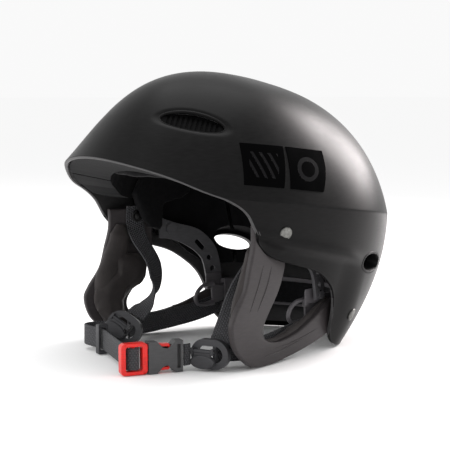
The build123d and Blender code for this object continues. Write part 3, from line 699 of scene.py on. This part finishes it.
def rounded_plate(outline, place, thickness, radius, steps=5):
    """Plate from a 2-D outline; place maps (u, v, depth) to a point; both rims are rounded."""
    outline = np.asarray(outline, float)
    inward = inward_normals(outline)
    count = len(outline)
    rows = []
    for k in range(steps + 1):
        a = pi / 2 * k / steps
        rows.append((radius * (1 - sin(a)), radius * (1 - cos(a))))
    rows = rows + [(inset, thickness - depth) for inset, depth in rows[::-1]]
    verts = []
    for inset, depth in rows:
        for p in outline + inward * inset:
            verts.append(place(p[0], p[1], depth))
    faces = grid_faces(len(rows), count, closed=True)
    flat = [Vector((*p, 0)) for p in outline + inward * radius]
    for triangle in tessellate_polygon([flat]):
        faces.append(list(triangle))
        faces.append([(len(rows) - 1) * count + k for k in triangle][::-1])
    return verts, faces


# ---- ear guards ------------------------------------------------------------
EAR_ORIGIN = np.array([85.8, -44.0, 0.0])
EAR_NORMAL = unit((0.978, 0.2035, -0.0367))
EAR_T = 5.0
EAR_OUTER = [(-57, 105), (-57, 90), (-61, 75), (-66, 58), (-76, 43), (-80, 33), (-76, 18.5), (-66, 8),
             (-56, 1.9), (-46, 0.2), (-30, 0.2), (-14, 2.0), (8, 5.5), (30, 10.5), (44, 14.5)]
EAR_INNER = [(44, 41), (36, 36.5), (20, 28), (0, 20), (-20, 16.2), (-33, 17), (-42, 21.5), (-43, 30),
             (-37, 39.5), (-27, 53), (-21, 66), (-19, 78), (-19, 105)]
GROOVES = {
    "upper_front": [(-46, 76), (-52, 60), (-61, 42)],
    "upper_rear": [(-36, 74), (-42, 58), (-52, 42)],
    "lower_front": [(-44, 7), (-22, 9), (6, 13.5)],
    "lower_rear": [(-30, 11.5), (-8, 12.8), (26, 19)],
}
EAR_ROLL = [(-48, 92), (-50, 78), (-55, 62), (-61, 44), (-62, 28), (-56, 15), (-42, 11), (-18, 11.5),
            (6, 17.5), (26, 26), (46, 36)]
ROLL_DEPTH, ROLL_FLATTENING = 6.5, 0.45


def ear_place(side):
    """Function from (y, z, depth) in the guard's plane to a point of the helmet."""
    def place(y, z, depth):
        slope = EAR_NORMAL[1] * (y - EAR_ORIGIN[1]) + EAR_NORMAL[2] * (z - EAR_ORIGIN[2])
        x = EAR_ORIGIN[0] - slope / EAR_NORMAL[0]
        return (np.array([x, y, z]) - EAR_NORMAL * depth) * np.array([side, 1, 1])
    return place


def build_ear_guard(name, side):
    """J-shaped plate with four fine raised lines."""
    place = ear_place(side)
    outline = resample(np.vstack([catmull(EAR_OUTER, 8), catmull(EAR_INNER, 8)]), 1.2)
    verts, faces = rounded_plate(outline, place, EAR_T, 1.5)
    clean(new_object("guard_" + name, verts, faces, EAR, "helmet", ["ear_guard_" + name]))
    for label, line in GROOVES.items():
        path = [place(y, z, 0.15) for y, z in catmull(line, 14)]
        reach = np.linspace(0, 1, len(path))
        verts, faces = tube(path, 0.15 + 0.5 * np.sin(pi * reach) ** 0.5, 8)
        clean(new_object(f"guard_{label}_{name}", verts, faces, EAR, "helmet"))


def build_ear_roll(name, side):
    """Roll of foam along the inner face of a guard, flattened towards it."""
    place = ear_place(side)
    middle = np.array([place(y, z, ROLL_DEPTH) for y, z in catmull(EAR_ROLL, 10)])
    reach = np.linspace(0, 1, len(middle))
    radius = np.interp(reach, (0, 0.06, 0.3, 0.45, 1), (4.0, 8.5, 11.5, 8.0, 6.0))
    verts, faces = tube(middle, radius, 20)
    verts = np.asarray(verts, float)
    nearest = middle[np.argmin(np.linalg.norm(verts[:, None] - middle[None], axis=2), axis=1)]
    normal = EAR_NORMAL * np.array([side, 1, 1])
    verts -= normal * (ROLL_FLATTENING * np.sum((verts - nearest) * normal, 1))[:, None]
    clean(new_object("guard_roll_" + name, verts, faces, EAR_FOAM, "helmet"))


# ---- webbing ---------------------------------------------------------------
def webbing(name, stations, hides, body="helmet", width=16.0, thickness=1.6, steps=14):
    """Flat strap with rounded selvedges through (point, direction across) stations."""
    table = catmull([list(p) + list(a) for p, a in stations], steps)
    path, across = table[:, :3], table[:, 3:]
    along = unit(np.gradient(path, axis=0))
    across = unit(across - along * np.sum(across * along, 1)[:, None])
    out = np.cross(along, across)
    travelled = np.concatenate([[0], np.cumsum(np.linalg.norm(np.diff(path, axis=0), axis=1))])
    half, r = width / 2, thickness / 2
    section = [(-half + r - r * sin(a), r * cos(a)) for a in np.linspace(0, pi, 7)]
    section += [(x, -r) for x in np.linspace(-half + r, half - r, 10)[1:-1]]
    section += [(half - r + r * sin(a), -r * cos(a)) for a in np.linspace(0, pi, 7)]
    section += [(x, r) for x in np.linspace(half - r, -half + r, 10)[1:-1]]
    verts, uv = [], []
    for i in range(len(path)):
        for x, y in section:
            verts.append(path[i] + across[i] * x + out[i] * y)
            uv.append((x + half, travelled[i]))
    count = len(section)
    faces = grid_faces(len(path), count, closed=True)
    faces += [list(range(count))[::-1], [(len(path) - 1) * count + k for k in range(count)]]
    return new_object(name, verts, faces, WEBBING, body, hides, sharp=50, uv=uv)


LEAN = (-0.208, 1, 0.04)
FRONT_LEFT = [((81.6, -36, 107), LEAN), ((81.3, -36.5, 92), LEAN), ((75.6, -42, 80), LEAN),
              ((72, -54, 58), (0.2, 0.9, 0.2)), ((70.5, -63, 36), (0.6, 0.7, 0.1)),
              ((70, -69, 24), (0.8, 0.5, 0)), ((69.5, -72.6, 17), (0.9, 0.4, 0))]
FRONT_RIGHT = [((-81.6, -36, 107), (0.208, 1, 0.04)), ((-81.3, -36.5, 92), (0.208, 1, 0.04)),
               ((-74, -37, 80), (0.1, 1, 0)), ((-60, -34, 62), (-0.2, 0.95, 0.1)),
               ((-50, -40, 46), (-0.5, 0.8, 0.2)), ((-42, -54, 34), (-0.8, 0.5, 0.3)),
               ((-38, -64, 28), (-0.9, -0.2, 0.4)), ((-37, -69, 25), (-0.8, -0.3, 0.5))]
REAR = [((63.9, 64, 27), (0.45, -0.1, 1)), ((62.3, 50, 24), (0, -0.1, 1)), ((61.9, 38, 22), (0, -0.2, 1)),
        ((61.9, 10, 16.5), (0, -0.15, 1)), ((67.5, -25, 11.5), (0, 0, 1))]
CHIN_RIGHT = [(-47, -78), (-56, -83), (-62, -92), (-60, -101), (-50, -104), (-31, -105), (-12, -112),
              (8, -120), (24, -126), (33, -127.5)]


def build_webbing():
    webbing("strap_front_left", FRONT_LEFT, ["front_strap_left"])
    webbing("strap_front_right", FRONT_RIGHT, ["front_strap_right"])
    webbing("strap_rear_left", REAR + [((69.5, -48, 11), (0, 0, 1)), ((66, -62, 11.5), (0, 0, 1)),
                                       ((64.5, -70, 11.5), (0, 0, 1))], ["rear_strap_left"])
    mirror = [((-x, y, z), (-a, b, c)) for (x, y, z), (a, b, c) in REAR]
    webbing("strap_rear_right", mirror + [((-64, -48, 11), (0, 0, 1)), ((-54, -63, 12), (0, 0, 1)),
                                          ((-47, -68, 13), (0, 0, 1))], ["rear_strap_right"])
    chin = [((x, y, 11.5), (0, 0, 1)) for x, y in CHIN_RIGHT]
    webbing("strap_chin_right", chin, ["chin_strap_right"])
    webbing("strap_chin_left", [((58.2, -95.5, 11.5), (0, 0, 1)), ((58.6, -92, 11.5), (0, 0, 1)),
                                ((58, -90, 11.5), (0, 0, 1))], ["chin_strap_left"])


def build_wrap():
    """Webbing that comes from behind into the red frame, round its bar and out again."""
    mouth = np.array([48.8, -122.0, 11.5])
    along, face = unit((0.28, 0.96, 0)), unit((0.96, -0.28, 0))
    loop = [(-15.0, -4.6), (-14.8, -1.6), (-13.4, 1.5), (-10.4, 2.5), (-7.4, 1.5), (-6.0, -1.6),
            (-5.8, -4.6)]
    path = [mouth + along * u + face * w for u, w in loop]
    path = [np.array([33.5, -128.6, 11.5])] + path + [np.array([34.0, -125.6, 11.5])]
    webbing("buckle_wrap", [(p, (0, 0, 1)) for p in path], ["buckle_webbing"], body="buckle_insert", steps=10)


# ---- cradle wings ----------------------------------------------------------
CRADLE_X = 57.0


def build_wing(name, side):
    """Loop of round bar, flat tail that runs into the cradle, and a flap pinned to the headband."""
    def at(x):
        return lambda y, z, depth: np.array([(x - depth) * side, y, z])

    loop = [(27, 23.6), (18, 22.6), (11, 23.4), (8.0, 27.5), (9.8, 33.5), (15.5, 38.2), (22, 39.4),
            (27, 39.2)]
    path = [at(CRADLE_X)(y, z, 0) for y, z in catmull(loop, 8)]
    radius = np.interp(np.linspace(0, 1, len(path)), (0, 0.15, 0.85, 1), (2.6, 1.7, 1.7, 2.6))
    pieces = [tube(path, radius, 12)]
    tail = resample(catmull([(26, 23.5), (33, 23.5), (37, 24.8), (50.4, 24.8), (50.4, 37.2), (37, 37.2),
                             (33, 38.5), (26, 38.5), (25, 31), (26, 23.5)], 6)[:-1], 1.2)
    pieces.append(rounded_plate(tail, at(CRADLE_X + 1.2), 2.4, 0.8))
    flap = resample(catmull([(22, 38), (22, 47), (25, 48.3), (36, 48.3), (38.8, 46), (38.8, 38), (30, 36.8),
                             (22, 38)], 6)[:-1], 1.2)
    pieces.append(rounded_plate(flap, at(CRADLE_X + 4.4), 1.3, 0.4))
    bridge = resample(np.array([(21.6, 34.8), (25.8, 34.8), (25.8, 40.2), (21.6, 40.2)], float), 1.0)
    pieces.append(rounded_plate(bridge, at(CRADLE_X + 4.2), 3.4, 0.5))
    for k, (verts, faces) in enumerate(pieces):
        hides = ["wing_" + name] if k == 0 else ()
        clean(new_object(f"wing_{k}_{name}", verts, faces, CRADLE, "helmet", hides), sharp=40)


# ---- CAD pieces shown as they are, with softened edges ---------------------
def dress(name, material, bevel=0.0, sharp=30, segments=3):
    """Material, slot and softened edges of width bevel (mm) for a CAD node."""
    obj = nodes[name]
    obj.data.materials.clear()
    obj.data.materials.append(material)
    for face in obj.data.polygons:
        face.material_index = 0
    smooth(obj, sharp)
    if bevel:
        weld = obj.modifiers.new("weld", "WELD")
        weld.merge_threshold = 1e-6
        edge = obj.modifiers.new("edge", "BEVEL")
        edge.width = bevel / 1000
        edge.segments = segments
        edge.limit_method = "ANGLE"
        edge.angle_limit = radians(35)
        edge.use_clamp_overlap = True
        edge.harden_normals = False
        flat = obj.modifiers.new("normals", "WEIGHTED_NORMAL")
        flat.keep_sharp = False


def dress_all():
    for side in ("left", "right"):
        dress("liner_side_" + side, LINER, sharp=50)
        dress("vent_grille_" + side, GRILLE_PAINTED_SHADE, 0.3)
        dress("divider_" + side, DARK, 1.0)
        dress("cam_lever_" + side, DARK, 0.4)
        dress("cam_pin_" + side, STEEL)
        dress("headband_" + side, BAND, 0.6)
        dress("rack_" + side, BAND)
    for name in ("liner_crown", "liner_front", "liner_rear"):
        dress(name, LINER, sharp=50)
    dress("front_washers", DARK_METAL, 0.25)
    for name in ("headband_studs", "headband_pins"):
        dress(name, BAND, 0.3)
    dress("buckle_female", GREY, 0.7)
    dress("buckle_male", RED, 0.7)
    dress("buckle_prong_upper", RED, 0.4)
    dress("buckle_prong_lower", RED, 0.4)
    dress("strap_keeper", DARK, 0.8)
    dress("cradle_housing", CRADLE, 0.8)
    dress("dial_knob", CRADLE, 0.5)
    dress("dial_pinion", CRADLE)


# ---- side panels -----------------------------------------------------------
PANEL_TOP, PANEL_HEIGHT = 0.70, 0.22      # along the shell from crown to shoulder line


def build_panel(name, material, top, low, hides):
    """Thin panel on the shell between the turns in top and, at its foot, those in low."""
    count = 36
    k = np.linspace(0, 1, count)
    grids = []
    for inset in (-0.45, 0.3):
        first = top[0] + (low[0] - top[0]) * k
        last = top[1] + (low[1] - top[1]) * k
        turn = first[:, None] + (last - first)[:, None] * k[None, :]
        grids.append(shell_point((PANEL_TOP + PANEL_HEIGHT * k)[:, None] * np.ones(count), turn, inset))
    verts = np.concatenate([g.reshape(-1, 3) for g in grids])
    uv = [(j / (count - 1), 1 - i / (count - 1)) for i in range(count) for j in range(count)] * 2
    faces = grid_faces(count, count) + grid_faces(count, count, start=count * count, flip=True)
    edge = [j for j in range(count)] + [i * count + count - 1 for i in range(1, count)]
    edge += [count * count - 1 - j for j in range(1, count)] + [i * count for i in range(count - 2, 0, -1)]
    for a, b in zip(edge, edge[1:] + edge[:1]):
        faces.append([a, a + count * count, b + count * count, b])
    new_object(name, verts, faces, material, "helmet", hides, uv=uv)


# ---- padded pieces by cloth simulation -------------------------------------
def puff(name, node, material, body="helmet", voxel=3.2, shrink=0.9, cap=2.2, pressure=4.0,
         swell=0.2):
    """Soft piece from a CAD pad: remeshed, shrunk, then swollen by a short cloth simulation.

    voxel, shrink, cap and swell are in mm; a point moves by cap at most, and outwards by swell.
    """
    source = nodes[node]
    mesh = source.data.copy()
    mesh.materials.clear()
    obj = bpy.data.objects.new(name, mesh)
    bpy.context.scene.collection.objects.link(obj)
    remesh = obj.modifiers.new("remesh", "REMESH")
    remesh.mode = "VOXEL"
    remesh.voxel_size = voxel / 1000
    apply_modifiers(obj)
    mesh = obj.data
    start = np.zeros(len(mesh.vertices) * 3)
    mesh.vertices.foreach_get("co", start)
    start = start.reshape(-1, 3)
    normals = np.array([v.normal for v in mesh.vertices])
    mesh.vertices.foreach_set("co", (start - normals * shrink / 1000).ravel())
    mesh.update()
    simulate(obj, pressure)
    end = np.zeros(len(obj.data.vertices) * 3)
    obj.data.vertices.foreach_get("co", end)
    move = end.reshape(-1, 3) - start
    length = np.linalg.norm(move, axis=1, keepdims=True)
    move *= np.minimum(1, cap / 1000 / np.maximum(length, 1e-9))
    outwards = np.sum(move * normals, 1, keepdims=True)
    move -= normals * np.maximum(outwards - swell / 1000, 0)
    obj.data.vertices.foreach_set("co", (start + move).ravel())
    obj.data.update()
    divide = obj.modifiers.new("subdivision", "SUBSURF")
    divide.levels = divide.render_levels = 1
    obj.data.materials.append(material)
    obj.data.shade_smooth()
    declare(obj, body, [node])
    return obj


def simulate(obj, pressure):
    scene = bpy.context.scene
    soft = obj.modifiers.new("cloth", "CLOTH")
    soft.settings.use_pressure = True
    soft.settings.uniform_pressure_force = pressure
    soft.settings.quality = 5
    soft.settings.effector_weights.gravity = 0
    soft.point_cache.frame_start, soft.point_cache.frame_end = 1, 20
    for step in range(1, 21):
        scene.frame_set(step)
    apply_modifiers(obj)
    scene.frame_set(1)


def build_pads():
    for side in ("left", "right"):
        puff("pad_side_" + side, "side_pad_" + side, PAD, voxel=2.6)
        puff("pad_ear_" + side, "ear_pad_" + side, EAR_FOAM, voxel=2.4, cap=4.5,
             pressure=16.0, swell=3.2)
    puff("pad_brow", "brow_pad", PAD)
    puff("pad_crown", "crown_pad", PAD)
    puff("pad_nape", "nape_pad", PAD, body="cradle", voxel=2.0, shrink=0.6)


# ---- studio ----------------------------------------------------------------
def soft_light(name, place, target, size, power, color=(1, 1, 1)):
    lamp = bpy.data.lights.new(name, "AREA")
    lamp.shape = "RECTANGLE"
    lamp.size, lamp.size_y = size
    lamp.energy = power
    lamp.color = color
    obj = bpy.data.objects.new(name, lamp)
    bpy.context.scene.collection.objects.link(obj)
    obj.location = place
    obj.rotation_euler = (Vector(target) - Vector(place)).to_track_quat("-Z", "Y").to_euler()


def build_studio():
    paper = Recipe("floor", (0.985, 0.985, 0.985), 0.95, specular=0.0)
    paper.bump(paper.noise(40, 2), 0.0002, 0.1)
    mesh = bpy.data.meshes.new("floor")
    size = 60.0
    corners = [(-size, -size, 0), (size, -size, 0), (size, size, 0), (-size, size, 0)]
    mesh.from_pydata(corners, [], [(0, 1, 2, 3)])
    mesh.materials.append(paper.material)
    floor = bpy.data.objects.new("floor", mesh)
    bpy.context.scene.collection.objects.link(floor)
    floor.location.z = -0.0005
    world = bpy.data.worlds.new("studio")
    bpy.context.scene.world = world
    world.use_nodes = True
    world.node_tree.nodes["Background"].inputs[0].default_value = (1, 1, 1, 1)
    world.node_tree.nodes["Background"].inputs[1].default_value = 0.95
    bpy.context.scene.view_settings.view_transform = "Standard"
    aim = (0, 0, 0.12)
    soft_light("key", (-0.01, 1.03, 0.63), (0.08, 0.04, 0.16), (0.42, 0.55), 15, (1.0, 0.94, 0.935))
    soft_light("strip", (1.05, 0.52, 0.34), (0.1, 0.02, 0.085), (0.5, 0.06), 1.2)
    soft_light("front", (-0.5, -1.0, 0.5), aim, (0.7, 0.5), 4)
    soft_light("top", (-0.1, 0.1, 1.1), aim, (0.8, 0.8), 4)


def build_camera():
    data = bpy.data.cameras.new("camera")
    data.lens, data.sensor_width = 105.2, 36.0
    camera = bpy.data.objects.new("camera", data)
    bpy.context.scene.collection.objects.link(camera)
    target = np.array([-3.9, -4.6, 95.1])
    azimuth, elevation = radians(50), radians(5.7)
    back = np.array([sin(azimuth) * cos(elevation), -cos(azimuth) * cos(elevation), sin(elevation)])
    camera.location = metres(target + back * 1046)
    camera.rotation_euler = Vector(-back).to_track_quat("-Z", "Y").to_euler()
    bpy.context.scene.camera = camera


build_shell()
for name, side in (("left", 1), ("right", -1)):
    vent_lip("eye_vent_lip_" + name, EYE_VENT, 24.1, 8.5, (1.5, 0.6), side)
    vent_lip("top_vent_lip_" + name, TOP_VENT, 21.2, 6.6, (0.8, 0.8), side)
    vent_sleeve("side_vent_" + name, SIDE_VENT, 19.8, 9.3, 2.2, 9.0, side, ["vent_ring_" + name])
    build_ear_guard(name, side)
    build_ear_roll(name, side)
build_rivets("rivet_front", RIVET_FRONT, 77.9, ["front_rivets"])
build_rivets("rivet_rear", RIVET_REAR, 61.0, ["rear_rivets"])
build_brim_bead()
build_panel("panel_front", PANEL_BARS, (-30, -14), (-29, -17), ["patch_front"])
build_panel("panel_rear", PANEL_RING, (-13, 3), (-15, -4), ["patch_rear"])
build_webbing()
build_wrap()
build_wing("left", 1)
build_wing("right", -1)
dress_all()
build_pads()
build_studio()
build_camera()
